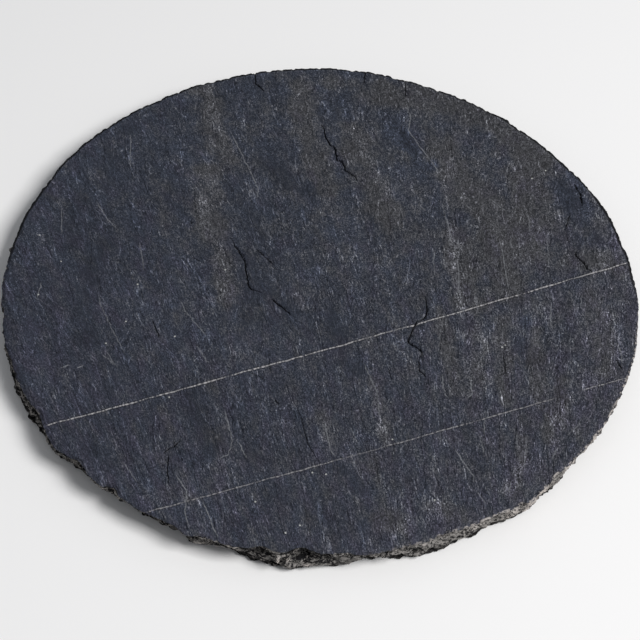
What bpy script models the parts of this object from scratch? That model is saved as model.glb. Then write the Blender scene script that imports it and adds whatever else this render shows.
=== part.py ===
"""A round slab of natural slate, 500 mm across and 22 mm thick.

It is one piece of stone: a riven top, a flat cleavage plane underneath, and a rim that was knapped
round with a hammer. The slab lies on z = 0 with +Z up, and its outline is centred on the origin.

The body starts as a square grid that is extruded to a block. The block is pressed to a disc, and
a few functions of place give it the cleft of its top, its ragged outline, the undercut and the
laminae of its rim. The cracks and the flake scars are cut out of the top with Booleans.
"""

import math

import bmesh
import bpy
from mathutils import Matrix, Vector, noise

# Driving dimensions, in metres. Bearings are in degrees, anticlockwise from +X.
DIAMETER = 0.500
THICKNESS = 0.022
RADIUS = DIAMETER / 2

# The mesh: cells along a side of the grid, and the heights of the rim's rows as shares of its wall.
# The rows come in close pairs, one each side of a ledge between two laminae.
GRID_CELLS = 44
LEDGES = (0.22, 0.46, 0.72)
LEDGE_RISE = 0.04

# The riven top: a broad swell, and long ridges that follow the grain of the stone.
SWELL = 0.0007
SWELL_LENGTH = 0.17
RIDGE = 0.0007
RIDGE_WIDTH = 0.030
RIDGE_LENGTH = 0.150
GRAIN_LEAN = 0.185
GRAIN_FAN = 1.1

# The underside stays flat out to this share of the radius, and lifts from there to its worn edge.
FLAT_SHARE = 0.86
EDGE_LIFT = 0.0026

# The rim: how far inwards it bends the rings of the grid, and how ragged the stone broke.
RIM_SHARE = 0.86
RAGGED = 0.0010
RAGGED_WAVES = 14
LAMINA_STEP = 0.0022
LAMINA_WAVES = 6

# How far the wall's top edge and its foot stand outside the nominal circle: (bearing, edge, foot).
RIM_FORM = (
    (-176, 0.0003, -0.0050),
    (-164, 0.0006, -0.0010),
    (-154, 0.0006, 0.0004),
    (-146, 0.0003, -0.0002),
    (-140, 0.0010, -0.0030),
    (-133, 0.0010, -0.0080),
    (-122, 0.0024, -0.0085),
    (-114, 0.0014, -0.0085),
    (-104, 0.0022, -0.0075),
    (-98, 0.0015, -0.0030),
    (-92, 0.0005, -0.0010),
    (-86, 0.0003, -0.0038),
    (-79, 0.0005, -0.0070),
    (-71, -0.0004, -0.0016),
    (-66, -0.0012, -0.0026),
    (-60, -0.0008, -0.0048),
    (-53, 0.0012, -0.0018),
    (-45, 0.0003, -0.0034),
    (-38, 0.0006, -0.0056),
    (-25, 0.0012, -0.0050),
    (-5, 0.0013, -0.0060),
    (12, 0.0008, -0.0080),
    (28, 0.0003, -0.0060),
    (40, -0.0018, -0.0050),
    (55, -0.0010, -0.0080),
    (70, -0.0008, -0.0070),
    (84, 0.0015, -0.0040),
    (100, 0.0008, -0.0070),
    (120, -0.0002, -0.0090),
    (145, 0.0003, -0.0050),
    (162, -0.0008, -0.0070),
)

# Bites and spurs of the knapping: (bearing, half width in degrees, offset outwards, low z, high z).
RIM_MARKS = (
    (-159, 3.0, -0.0015, 0.004, 0.014),
    (-146, 4.5, -0.0034, 0.013, 0.030),
    (-138, 2.4, 0.0022, 0.010, 0.030),
    (-133, 2.4, -0.0044, 0.008, 0.030),
    (-125, 2.2, -0.0026, 0.012, 0.030),
    (-108, 4.0, 0.0030, 0.003, 0.014),
    (-97, 2.4, -0.0034, 0.011, 0.030),
    (-91, 3.6, -0.0078, 0.009, 0.030),
    (-94, 8.0, 0.0022, -0.010, 0.008),
    (-84, 2.4, -0.0020, 0.013, 0.030),
    (-70, 1.6, -0.0050, 0.004, 0.014),
    (-67, 4.0, -0.0012, 0.015, 0.030),
    (-54, 2.6, 0.0014, 0.002, 0.030),
    (14, 3.4, -0.0010, 0.010, 0.030),
    (57, 4.0, -0.0030, -0.010, 0.013),
    (76, 2.6, -0.0014, 0.008, 0.030),
    (112, 3.6, -0.0010, 0.010, 0.030),
    (124, 3.0, -0.0034, 0.003, 0.012),
    (176, 4.0, -0.0036, -0.010, 0.010),
)
MARK_SOFTNESS = 0.0030

# Cracks in the top, each as its route over the slab.
CRACKS = (
    ((-0.006, 0.183), (-0.002, 0.168), (0.006, 0.154), (0.009, 0.143), (0.018, 0.126), (0.026, 0.117)),
    ((-0.073, 0.044), (-0.062, 0.020), (-0.061, 0.010), (-0.056, -0.008), (-0.044, -0.011)),
    ((-0.040, -0.017), (-0.024, -0.029), (-0.022, -0.035)),
    ((-0.053, 0.036), (-0.039, 0.019)),
    ((0.083, -0.007), (0.084, -0.018), (0.081, -0.030), (0.072, -0.044), (0.068, -0.053), (0.080, -0.062)),
    ((0.080, -0.066), (0.076, -0.074), (0.088, -0.096), (0.096, -0.112)),
    ((0.207, 0.125), (0.212, 0.110), (0.214, 0.099)),
    ((0.205, 0.050), (0.207, 0.039), (0.218, 0.027)),
)
CRACK_RADIUS = 0.0010
CRACK_SINK = 0.0003
CRACK_TAPER = 0.35

# Scars where a flake came off the top: (x, y, half width, half length, bearing of the deep edge, depth).
FLAKE_SCARS = (
    (-0.105, -0.168, 0.007, 0.017, 25, 0.0012),
    (0.218, 0.064, 0.013, 0.026, 180, 0.0012),
    (0.141, -0.066, 0.006, 0.014, 0, 0.0010),
    (0.226, -0.058, 0.008, 0.020, 170, 0.0010),
    (0.078, 0.158, 0.013, 0.044, 207, 0.0010),
    (-0.060, -0.156, 0.010, 0.026, 15, 0.0009),
)
SCAR_SIDES = 20
SCAR_RAGGED = 0.4
SCAR_HEIGHT = 0.006

SLATE_COLOUR = (0.047, 0.050, 0.063, 1.0)
SLATE_ROUGHNESS = 0.62


def clear_scene():
    for obj in list(bpy.data.objects):
        bpy.data.objects.remove(obj, do_unlink=True)


def new_collection(name):
    collection = bpy.data.collections.new(name)
    bpy.context.scene.collection.children.link(collection)
    return collection


def slate_material():
    material = bpy.data.materials.new("slate")
    material.use_nodes = True
    shader = material.node_tree.nodes["Principled BSDF"]
    shader.inputs["Base Color"].default_value = SLATE_COLOUR
    shader.inputs["Roughness"].default_value = SLATE_ROUGHNESS
    shader.inputs["Metallic"].default_value = 0.0
    return material


def smooth(share):
    """0 below 0, 1 above 1, and an S curve between."""
    share = min(max(share, 0.0), 1.0)
    return share * share * (3 - 2 * share)


def mix(low, high, share):
    return low + (high - low) * share


def round_noise(bearing, waves, seed):
    """Noise that closes on itself after a full turn, about `waves` swings each way round."""
    angle = math.radians(bearing)
    return noise.noise(Vector((waves * math.cos(angle), waves * math.sin(angle), seed)))


def turn_between(bearing, other):
    """The angle from one bearing to another, between -180 and 180 degrees."""
    return (other - bearing + 180) % 360 - 180


def rim_form(bearing, share):
    """The wall's offset from the nominal circle, read smoothly round the closed table."""
    for (start, edge, foot), (end, next_edge, next_foot) in zip(RIM_FORM, RIM_FORM[1:] + RIM_FORM[:1]):
        span = (end - start) % 360
        past = (bearing - start) % 360
        if past < span:
            blend = smooth(past / span)
            return mix(mix(foot, next_foot, blend), mix(edge, next_edge, blend), share)
    raise ValueError("the table of the rim doesn't close")


def rim_marks(bearing, height):
    """The sum of the bites and spurs at this place of the wall."""
    offset = 0.0
    for centre, half_width, depth, low, high in RIM_MARKS:
        aside = abs(turn_between(centre, bearing)) / half_width
        if aside >= 1:
            continue
        rise = smooth((height - low) / MARK_SOFTNESS) * smooth((high - height) / MARK_SOFTNESS)
        offset += depth * rise * (1 - smooth(aside))
    return offset


def lamina(share):
    """The number of the lamina at this share of the wall's height, counted from the foot."""
    return sum(share > ledge for ledge in LEDGES)


def wall_radius(bearing, share):
    """The slab's radius on this bearing, at this share of the wall's height."""
    ragged = RAGGED * round_noise(bearing, RAGGED_WAVES, 7.7 + share)
    step = LAMINA_STEP * round_noise(bearing, LAMINA_WAVES, 20.0 + 5 * lamina(share))
    step *= smooth((1 - share) / LEDGE_RISE)
    return RADIUS + rim_form(bearing, share) + ragged + step + rim_marks(bearing, share * THICKNESS)


def across_grain(x, y):
    """The place across the grain. The grain leans on the slab's left and runs straight on its right."""
    return (x + GRAIN_LEAN * y) / (1 + GRAIN_FAN * y)


def cleft(x, y):
    """The height of the riven top above its mean plane."""
    swell = SWELL * noise.noise(Vector((x, y, 0.31)) / SWELL_LENGTH)
    along_grain = Vector((across_grain(x, y) / RIDGE_WIDTH, y / RIDGE_LENGTH, 4.2))
    return swell + RIDGE * noise.noise(along_grain)


def under_lift(bearing, share):
    """How far the underside stands above its flat cleavage plane, at this share of the radius."""
    wear = 0.55 + 0.45 * round_noise(bearing, 5, 40.0)
    return EDGE_LIFT * wear * smooth((share - FLAT_SHARE) / (1 - FLAT_SHARE))


def disc_place(u, v):
    """The share of the radius and the bearing of a point of the square, so that its sides become the rim."""
    if u == 0 and v == 0:
        return 0.0, 0.0
    if abs(u) >= abs(v):
        side, turn = u, v / u
        bearing = 45 * turn
    else:
        side, turn = v, u / v
        bearing = 90 - 45 * turn
    return abs(side), bearing if side > 0 else bearing + 180


def plan_place(share, bearing, height_share):
    """The plan position of a point, with the rim's bites easing out over the outer rings."""
    edge = wall_radius(bearing, height_share) - RADIUS
    reach = share * RADIUS + edge * smooth((share - RIM_SHARE) / (1 - RIM_SHARE))
    angle = math.radians(bearing)
    return reach * math.cos(angle), reach * math.sin(angle)


def slab_place(u, v, height_share):
    """The position of a point of the block, whose sides run from -1 to 1 and whose height from 0 to 1."""
    share, bearing = disc_place(u, v)
    x, y = plan_place(share, bearing, height_share)
    top = THICKNESS + cleft(x, y)
    return Vector((x, y, mix(under_lift(bearing, share), top, height_share)))


def row_shares():
    """The heights of the wall's rows from the foot to the top, two for each ledge."""
    shares = [0.0]
    for ledge in LEDGES:
        shares += [ledge - LEDGE_RISE / 2, ledge + LEDGE_RISE / 2]
    return shares + [1.0]


def block(bm):
    """A closed block: a grid at the foot, one at the top, and the wall's rows between them."""
    bmesh.ops.create_grid(bm, x_segments=GRID_CELLS, y_segments=GRID_CELLS, size=1)
    raised = bmesh.ops.extrude_face_region(bm, geom=bm.faces[:])["geom"]
    for vert in [item for item in raised if isinstance(item, bmesh.types.BMVert)]:
        vert.co.z = 1
    upright = [edge for edge in bm.edges if edge.verts[0].co.z != edge.verts[1].co.z]
    shares = row_shares()
    bmesh.ops.subdivide_edges(bm, edges=upright, cuts=len(shares) - 2, use_grid_fill=True)
    for vert in bm.verts:
        vert.co.z = shares[round(vert.co.z * (len(shares) - 1))]
    bmesh.ops.recalc_face_normals(bm, faces=bm.faces[:])


def slab_mesh():
    """The uncut slab, with the flat part of its underside as one face."""
    bm = bmesh.new()
    block(bm)
    for vert in bm.verts:
        vert.co = slab_place(*vert.co)
    flat = [face for face in bm.faces if all(vert.co.z == 0 for vert in face.verts)]
    bmesh.ops.dissolve_faces(bm, faces=flat, use_verts=True)
    mesh = bpy.data.meshes.new("slate_slab")
    bm.to_mesh(mesh)
    bm.free()
    return mesh


def crack_cutter(index, route, collection):
    """A thin tube, tapered to both ends, that lies half in the top along a crack's route."""
    data = bpy.data.curves.new(f"crack_route_{index}", "CURVE")
    data.dimensions = "3D"
    data.bevel_depth = CRACK_RADIUS
    data.bevel_resolution = 1
    data.use_fill_caps = True
    spline = data.splines.new("POLY")
    spline.points.add(len(route) - 1)
    for number, (x, y) in enumerate(route):
        point = spline.points[number]
        point.co = (x, y, THICKNESS + cleft(x, y) - CRACK_SINK, 1)
        point.radius = CRACK_TAPER if number in (0, len(route) - 1) else 1.0
    tube = bpy.data.objects.new(f"crack_route_{index}", data)
    bpy.context.scene.collection.objects.link(tube)
    graph = bpy.context.evaluated_depsgraph_get()
    mesh = bpy.data.meshes.new_from_object(tube.evaluated_get(graph))
    bpy.data.objects.remove(tube, do_unlink=True)
    bm = bmesh.new()
    bm.from_mesh(mesh)
    bmesh.ops.remove_doubles(bm, verts=bm.verts[:], dist=CRACK_RADIUS / 100)
    bmesh.ops.recalc_face_normals(bm, faces=bm.faces[:])
    bm.to_mesh(mesh)
    bm.free()
    return as_cutter(f"crack_{index}", mesh, collection)


def scar_cutter(index, scar, collection):
    """A ragged disc, tilted so that it sinks into the top at one edge and leaves it at the other."""
    x, y, half_width, half_length, bearing, depth = scar
    bm = bmesh.new()
    bmesh.ops.create_cone(
        bm, cap_ends=True, segments=SCAR_SIDES, radius1=1, radius2=1, depth=SCAR_HEIGHT
    )
    for vert in bm.verts:
        angle = math.degrees(math.atan2(vert.co.y, vert.co.x))
        ragged = 1 + SCAR_RAGGED * round_noise(angle, 2.5, 60.0 + index)
        vert.co.x *= half_width * ragged
        vert.co.y *= half_length * ragged
        vert.co.z += SCAR_HEIGHT / 2
    mesh = bpy.data.meshes.new(f"flake_scar_{index}")
    bm.to_mesh(mesh)
    bm.free()
    tilt = math.atan2(depth, 2 * half_width)
    middle = THICKNESS + cleft(x, y) - depth / 2
    turn = Matrix.Rotation(math.radians(bearing), 4, "Z")
    mesh.transform(Matrix.Translation((x, y, middle)) @ turn @ Matrix.Rotation(tilt, 4, "Y"))
    return as_cutter(f"flake_scar_{index}", mesh, collection)


def as_cutter(name, mesh, collection):
    cutter = bpy.data.objects.new(name, mesh)
    cutter.hide_render = True
    cutter.display_type = "WIRE"
    collection.objects.link(cutter)
    return cutter


def cut_with(slab, collection):
    cut = slab.modifiers.new(collection.name, "BOOLEAN")
    cut.operation = "DIFFERENCE"
    cut.solver = "EXACT"
    cut.operand_type = "COLLECTION"
    cut.collection = collection


def centre_on_origin(slab, cutters):
    """Slides everything so that the slab's outline is centred on the origin."""
    xs = [vert.co.x for vert in slab.data.vertices]
    ys = [vert.co.y for vert in slab.data.vertices]
    slide = Matrix.Translation((-(min(xs) + max(xs)) / 2, -(min(ys) + max(ys)) / 2, 0))
    for obj in [slab, *cutters]:
        obj.data.transform(slide)


def main():
    clear_scene()
    stone = new_collection("slate_slab")
    cracks = new_collection("crack_cutters")
    scars = new_collection("flake_scar_cutters")

    mesh = slab_mesh()
    mesh.materials.append(slate_material())
    mesh.shade_smooth()
    mesh.set_sharp_from_angle(angle=math.radians(35))
    slab = bpy.data.objects.new("slate_slab", mesh)
    stone.objects.link(slab)

    cutters = [crack_cutter(index, route, cracks) for index, route in enumerate(CRACKS)]
    cutters += [scar_cutter(index, scar, scars) for index, scar in enumerate(FLAKE_SCARS)]
    centre_on_origin(slab, cutters)
    cut_with(slab, scars)
    cut_with(slab, cracks)


main()
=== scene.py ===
"""A round slab of natural slate with a riven top and a knapped rim, lying on a pale studio floor.

The stone is one mesh. A square block is pressed to a disc and its mesh is made finer along the
rim, the cracks and the ledges. Functions of place then give it the cleft of its top, the scars
and grooves in it, the leaves and scallops of its broken rim, and the relief of its underside.
"""

import math

import bmesh
import bpy
import numpy as np
from bpy.props import FloatProperty, FloatVectorProperty, PointerProperty
from mathutils import Matrix, Vector, noise


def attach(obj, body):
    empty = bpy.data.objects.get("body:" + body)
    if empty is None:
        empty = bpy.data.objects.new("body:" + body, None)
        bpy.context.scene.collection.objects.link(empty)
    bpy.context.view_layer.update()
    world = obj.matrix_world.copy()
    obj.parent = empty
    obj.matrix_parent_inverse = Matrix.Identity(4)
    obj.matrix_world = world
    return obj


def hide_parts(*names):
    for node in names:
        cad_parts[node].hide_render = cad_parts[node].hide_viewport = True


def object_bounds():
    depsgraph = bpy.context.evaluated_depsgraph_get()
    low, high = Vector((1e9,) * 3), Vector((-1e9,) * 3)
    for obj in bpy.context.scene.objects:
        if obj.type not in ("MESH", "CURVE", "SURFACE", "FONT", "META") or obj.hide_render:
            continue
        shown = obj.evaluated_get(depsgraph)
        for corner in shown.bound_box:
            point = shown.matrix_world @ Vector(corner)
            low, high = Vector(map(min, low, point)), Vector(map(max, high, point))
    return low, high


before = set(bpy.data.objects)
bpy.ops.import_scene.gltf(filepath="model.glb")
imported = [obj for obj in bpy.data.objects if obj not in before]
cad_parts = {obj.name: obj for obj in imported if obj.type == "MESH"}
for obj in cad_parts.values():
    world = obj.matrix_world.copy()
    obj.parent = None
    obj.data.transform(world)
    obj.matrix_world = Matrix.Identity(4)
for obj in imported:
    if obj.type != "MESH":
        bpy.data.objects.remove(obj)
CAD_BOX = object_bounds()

bl_info = {
    "name": "Slate Slab",
    "version": (1, 0, 0),
    "blender": (4, 5, 0),
    "location": "View3D > Sidebar > Slate",
    "description": "Makes a round slab of riven slate with a knapped rim, and a stage to show it on",
    "category": "Object",
}


def metres(item):
    """A number of millimetres, or a nested table of them, in metres."""
    if isinstance(item, (tuple, list)):
        return tuple(metres(part) for part in item)
    return round(item / 1000, 7)


def in_metres(rows, plain=()):
    """A table's rows with their millimetres turned to metres, apart from these columns."""
    return tuple(
        tuple(item if index in plain else metres(item) for index, item in enumerate(row)) for row in rows
    )


NODE = "slate_slab"

# The plain form of the slab. Single sizes are in metres, and the tables' places and sizes are in
# millimetres. Bearings are in degrees, anticlockwise from +X.
RADIUS = 0.250
THICKNESS = 0.022

# The riven top: the lengths of its broad swell, and of the ridges and ripples along the grain.
SWELL_LENGTH = 0.17
RIDGE_WIDTH = 0.030
RIDGE_LENGTH = 0.150
RIPPLE_WIDTH = 0.009
RIPPLE_LENGTH = 0.045
GRAIN_LEAN = 0.185
GRAIN_FAN = 1.1

# The underside stays flat out to this share of the radius, and lifts from there to its worn edge.
FLAT_SHARE = 0.86

# The plain rim: where it starts to bend the rings of the grid, and how ragged the stone broke.
RIM_SHARE = 0.86
RAGGED = 0.0010
RAGGED_WAVES = 14
MAIN_SEAMS = (0.22, 0.46, 0.72)
MAIN_SEAM_RISE = 0.04
LAMINA_STEP = 0.0022
LAMINA_WAVES = 6

# How far the wall's top edge and its foot stand outside the nominal circle: (bearing, edge, foot).
RIM_FORM = in_metres((
    (-176, 0.2, -5.1), (-164, 0.3, -1.3), (-154, -0.6, -0.8), (-146, 0, -0.5), (-140, 1.9, -2.1),
    (-133, 1.2, -7.8), (-122, 1.9, -9), (-114, 1, -8.9), (-104, 1.7, -8), (-98, 1.9, -2.6),
    (-92, 0.9, -0.6), (-86, 0.3, -3.8), (-79, 1, -6.5), (-71, -0.5, -1.7), (-66, -1.9, -3.3),
    (-60, -1.2, -5.2), (-53, 0.7, -2.3), (-45, -1, -4.7), (-38, -0.3, -6.5), (-25, 0.7, -5.5),
    (-5, 1.6, -6), (12, 1, -8), (28, 0.9, -6), (40, -1.5, -5), (55, -0.4, -8), (70, 0.2, -7),
    (84, 2, -4), (100, 1.2, -7), (120, -0.2, -9), (145, 1.1, -5), (162, -0.5, -7),
), plain=(0,))

# Bites and spurs of the knapping, and how pale each of them is, as a fresh break and as a painted
# highlight:
# (bearing, half width in degrees, offset outwards, low z, high z, paleness).
RIM_MARKS = in_metres((
    (-159, 3, -1.5, 4, 14, 0), (-146, 4.5, -2.4, 13, 30, 0), (-138, 2.4, 2.2, 10, 30, 0),
    (-133, 2.4, -3.4, 8, 30, 0), (-125, 2.4, -4.8, 12, 30, 0), (-110, 2.8, 3.6, -10, 30, 0),
    (-108, 4, 3, 3, 14, 0), (-99.8, 1.2, -1.4, -10, 18, 0), (-97.5, 3, -3.6, 11, 30, 0),
    (-94.7, 0.55, 3.6, 9, 20, 1), (-93.2, 0.45, 3.6, 9, 20, 1), (-90.9, 3.5, -5.4, 10, 30, 0),
    (-94, 8, 2.2, -10, 8, 0.1), (-90, 1.2, 0.6, 2, 8, 0.8), (-84, 2.4, -1.4, 13, 30, 0),
    (-78, 6, 0.6, 4, 30, 0.2), (-70, 1.6, -5, 4, 14, 0), (-67, 4, -0.6, 15, 30, 0.3),
    (-61, 4, 0.4, 6, 30, 0.5), (-54, 2.6, 1.4, 2, 30, 0.8), (-51, 1.9, 3, 0, 30, 0.9),
    (-48, 5, 1.4, 5, 30, 1), (-40, 3, 0.4, 8, 30, 0.9), (-34, 5, 0.2, 10, 30, 0.8),
    (-18, 9, 0.2, 12, 30, 0.4), (14, 3.4, -1, 10, 30, 0), (57, 4, -3, -10, 13, 0),
    (76, 2.6, -1.4, 8, 30, 0), (112, 3.6, -1, 10, 30, 0), (124, 3, -3.4, 3, 12, 0),
    (-170, 3, -1.6, 0, 30, 0), (176, 4, -3.6, -10, 10, 0),
), plain=(0, 1, 5))
MARK_SOFTNESS = 0.0030

# The broken rim in detail: the seams between its thin leaves, and the swings of its scallops and
# bites in a full turn.
SEAMS = (0.07, 0.14, 0.22, 0.30, 0.38, 0.46, 0.55, 0.63, 0.72, 0.80, 0.87, 0.94)
SEAM_RISE = 0.014
SEAM_WANDER = 0.014
SCALLOP_WAVES = 23
LEAF_WAVES = 30
BITE_WAVES = 75
GRIT_SIZE = 0.0024
BARE_EDGE = 0.09

# Shell-shaped scars in the broken rim, with sharp ridges between them: (width, height, depth).
SHELLS = in_metres((
    (12, 6, 4.2), (5, 2.6, 1.8),
))
SHELL_CREST = 0.80
SHELL_MEAN = 0.82
HOLLOW_DEPTH = 0.0040

# The worn top edge: how far in from it the wear and the chips reach.
WEAR_REACH = 0.0035
NICK_WAVES = 60
CHIP_REACH = 0.0035

# Painted shade lies as a dark line along the top's edge, with a paler band inside it, from this far along
# +Y.
EDGE_SHADE_FROM = -0.020

# Cracks in the top: (half width, depth, route over the slab).
CRACKS = in_metres((
    (0.8, 2, ((-5.5, 180.8), (-3.4, 175.8), (-2.9, 169.7), (-1.3, 165.6), (0.5, 160.5), (2.4, 156.4),
        (5.5, 154.9), (6.9, 151.6), (7.6, 145.7), (8.7, 139.9), (13.2, 138), (14.5, 134.4),
        (16.1, 128.8), (19.4, 124.8), (23.1, 122.6), (26.2, 117.6))),
    (0.8, 2, ((-72.7, 42.9), (-70.6, 36.7), (-66.5, 30.8), (-64.5, 25.6), (-61.6, 20.6),
        (-60.4, 11.9), (-58.6, 3.4), (-57.1, -3.4), (-56.6, -5.9), (-54.5, -9.2), (-49.9, -9.8),
        (-46.7, -10.8))),
    (0.9, 2, ((-38.1, -17.8), (-35.1, -20.2), (-28.4, -26.2), (-24.3, -30.1), (-22.5, -33.3))),
    (0.8, 1.6, ((-51.9, 33.9), (-46.3, 27.7), (-42.5, 23.3), (-39.2, 19.3))),
    (0.9, 2.2, ((82.8, -7.6), (83.8, -14.7), (84.5, -19.9), (84.1, -25.5), (81.2, -30.6), (76.6, -33),
        (74.3, -37.5), (71.8, -45), (69.6, -52.5), (70.6, -55), (75, -57.9), (78.3, -60.2),
        (80.2, -63.3), (80, -66.5), (78.7, -69.9))),
    (0.6, 1, ((77.3, -71.8), (78.3, -80.6), (81, -84.5), (83.6, -88))),
    (0.8, 1.8, ((208.6, 123.4), (210.1, 118.1), (212.2, 112.7), (212.8, 106.3), (213.6, 99.6))),
    (0.8, 1.6, ((204.7, 48), (205.5, 42.9), (208.1, 39.3), (210.5, 36.3), (212.8, 31), (217, 26.8))),
    (0.7, 1.2, ((202.5, 87.9), (199.9, 80.3), (198.2, 73.9))), (0.3, 0.6, ((198, 64), (199, 58))),
    (0.7, 2, ((-67, 246), (-65, 228), (-57, 219))), (0.6, 1.4, ((31, 252), (29, 234))),
    (0.5, 1, ((65, 246), (66, 219))), (0.5, 1, ((143, -58), (144, -70), (144, -80), (137, -84))),
    (0.7, 1, ((-30, -116), (-27, -121))),
    (0.7, 1.2, ((-98, -158), (-101, -163), (-105, -165), (-109, -170))),
    (0.6, 1, ((-105, -171), (-105, -182), (-103, -196))), (0.8, 1, ((188, -104), (189, -108))),
    (0.7, 0.8, ((172, -109), (173, -112))), (0.7, 1.4, ((230, -60), (234, -70))),
    (0.4, 0.6, ((-51, -92), (-39, -98))), (0.4, 0.6, ((-10, -132), (-4, -155), (5, -171))),
    (0.5, 0.9, ((-129.4, -43.7), (-122.2, -61.6))), (0.7, 1, ((-108.2, 63.7), (-107.3, 58.9))),
    (0.5, 0.8, ((-104.9, 23.1), (-97.2, 18.5))), (0.4, 0.6, ((54.6, -81.2), (57.8, -92.6))),
))

# Ledges where a thin leaf of the top came away: (drop to the right, route from back to front).
TOP_LEDGES = in_metres((
    (0.45, ((66, 219), (71, 194), (69, 180), (81, 157), (101, 121))),
    (0.3, ((96, -83), (97, -98), (100, -108))), (0.35, ((118, -88), (119, -102), (114, -107))),
    (0.45, ((35, -74), (47, -105), (50, -134))), (0.3, ((8, -134), (13, -159), (18, -167))),
    (0.4, ((104, -152), (118, -176), (119, -184))), (0.7, ((232, -43), (235, -54), (235, -66))),
    (0.4, ((-67, -127), (-59, -155), (-61, -169), (-71, -175))), (0.3, ((-54, -156), (-47, -172))),
    (0.35, ((-100, -185), (-89, -202), (-88, -222), (-84, -236))), (0.35, ((-77, -209), (-63, -242))),
    (0.45, ((-84, 170), (-63, 121), (-55, 101), (-56, 83))), (0.25, ((-167, 159), (-163, 117))),
    (0.3, ((-219, -12), (-221, -30))), (0.25, ((97.1, 97), (100.3, 81.4), (102.7, 67), (103.2, 44))),
    (0.25, ((109.9, 59.7), (111.3, 44.5), (109.6, 32.5), (110.5, 13.4), (109.1, -5.6))),
    (0.2, ((91.9, 43.3), (90.2, 31.3), (91, 14.3))),
    (0.25, ((143.3, 59.7), (146, 40.3), (148.5, 15.8), (149.4, 1.2))),
    (0.15, ((153, 57), (153.5, 47.2))), (0.2, ((166.5, 91.3), (168.6, 81.3), (169.6, 65.8))),
    (0.2, ((182.2, 62.2), (183, 54.6), (182.7, 29.7))),
    (0.25, ((183.4, -8.1), (181.5, -22.6), (182.2, -33.8))), (0.2, ((207.7, 2.7), (205.9, -11.9))),
    (0.2, ((137, 101.9), (143.5, 95.5), (150.7, 88))), (0.15, ((117, 93.7), (124.3, 86.3))),
    (0.2, ((95.4, -39.2), (94.6, -51.2))), (0.25, ((224.1, 94), (224.9, 87.3), (231.2, 82.1))),
    (0.2, ((202.4, 146.3), (214.8, 127.1), (223, 109.3))),
    (0.25, ((136.2, -120.4), (129.3, -123.8), (127.3, -127.1), (127.5, -137.2), (126.7, -141))),
    (0.25, ((123.1, -138.4), (127.1, -157.3))), (0.15, ((151.3, -137.7), (151.7, -150.4))),
    (0.15, ((158.8, -137.2), (157.5, -151.9), (155.4, -169.9))),
    (0.25, ((145.5, -180.2), (143.7, -191.7))), (0.2, ((126.5, -185.7), (130.6, -194.2))),
    (0.2, ((120.6, -189.6), (126.8, -201.3))), (0.2, ((200.7, -119.9), (198, -127.5), (191, -133.5))),
    (0.2, ((174.9, -159.9), (181.4, -146.8))), (0.2, ((-187.4, 79.3), (-175.2, 58.9), (-165.9, 48.4))),
    (0.2, ((-147.3, 36.5), (-142.5, 16.9), (-140.8, 4.8))),
    (0.2, ((-174.8, -18.3), (-170.5, -31.4), (-159.2, -55), (-151.4, -70), (-144.8, -81.7))),
    (0.2, ((-110.4, -20.4), (-104.6, -32.9), (-96.7, -44), (-83.8, -60.3))),
    (0.2, ((-93.3, -66.4), (-81.9, -84.7))), (0.2, ((-214.1, 69.7), (-210.2, 39.5))),
    (0.2, ((-164.1, -80), (-152.2, -90.9))), (0.25, ((-193.5, -95.4), (-187.8, -92.1))),
    (0.3, ((-181.8, -94.7), (-176.6, -92.1))), (0.2, ((-138.2, -178.2), (-123.8, -197.6))),
    (0.15, ((-161.4, -76.9), (-150.4, -93.7))),
))
LEDGE_WIDTH = 0.0007
LEDGE_REACH = 0.009
CLEAR_LEDGE = 0.00032
LINE_SPAN = 2.4
LINE_WOBBLE = 0.0008
WOBBLE_LENGTH = 0.0035

# Scars where a flake came off the top: (x, y, half width, half length, bearing of the deep edge, depth).
FLAKE_SCARS = in_metres((
    (-105, -168, 7, 17, 25, 1.2), (218, 64, 13, 26, 180, 1.2), (141, -66, 6, 14, 0, 1),
    (226, -58, 8, 20, 170, 1), (78, 158, 13, 44, 207, 1), (-60, -156, 10, 26, 15, 0.9),
), plain=(4,))
SCAR_RAGGED = 0.4
SCAR_WALL = 0.10

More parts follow.
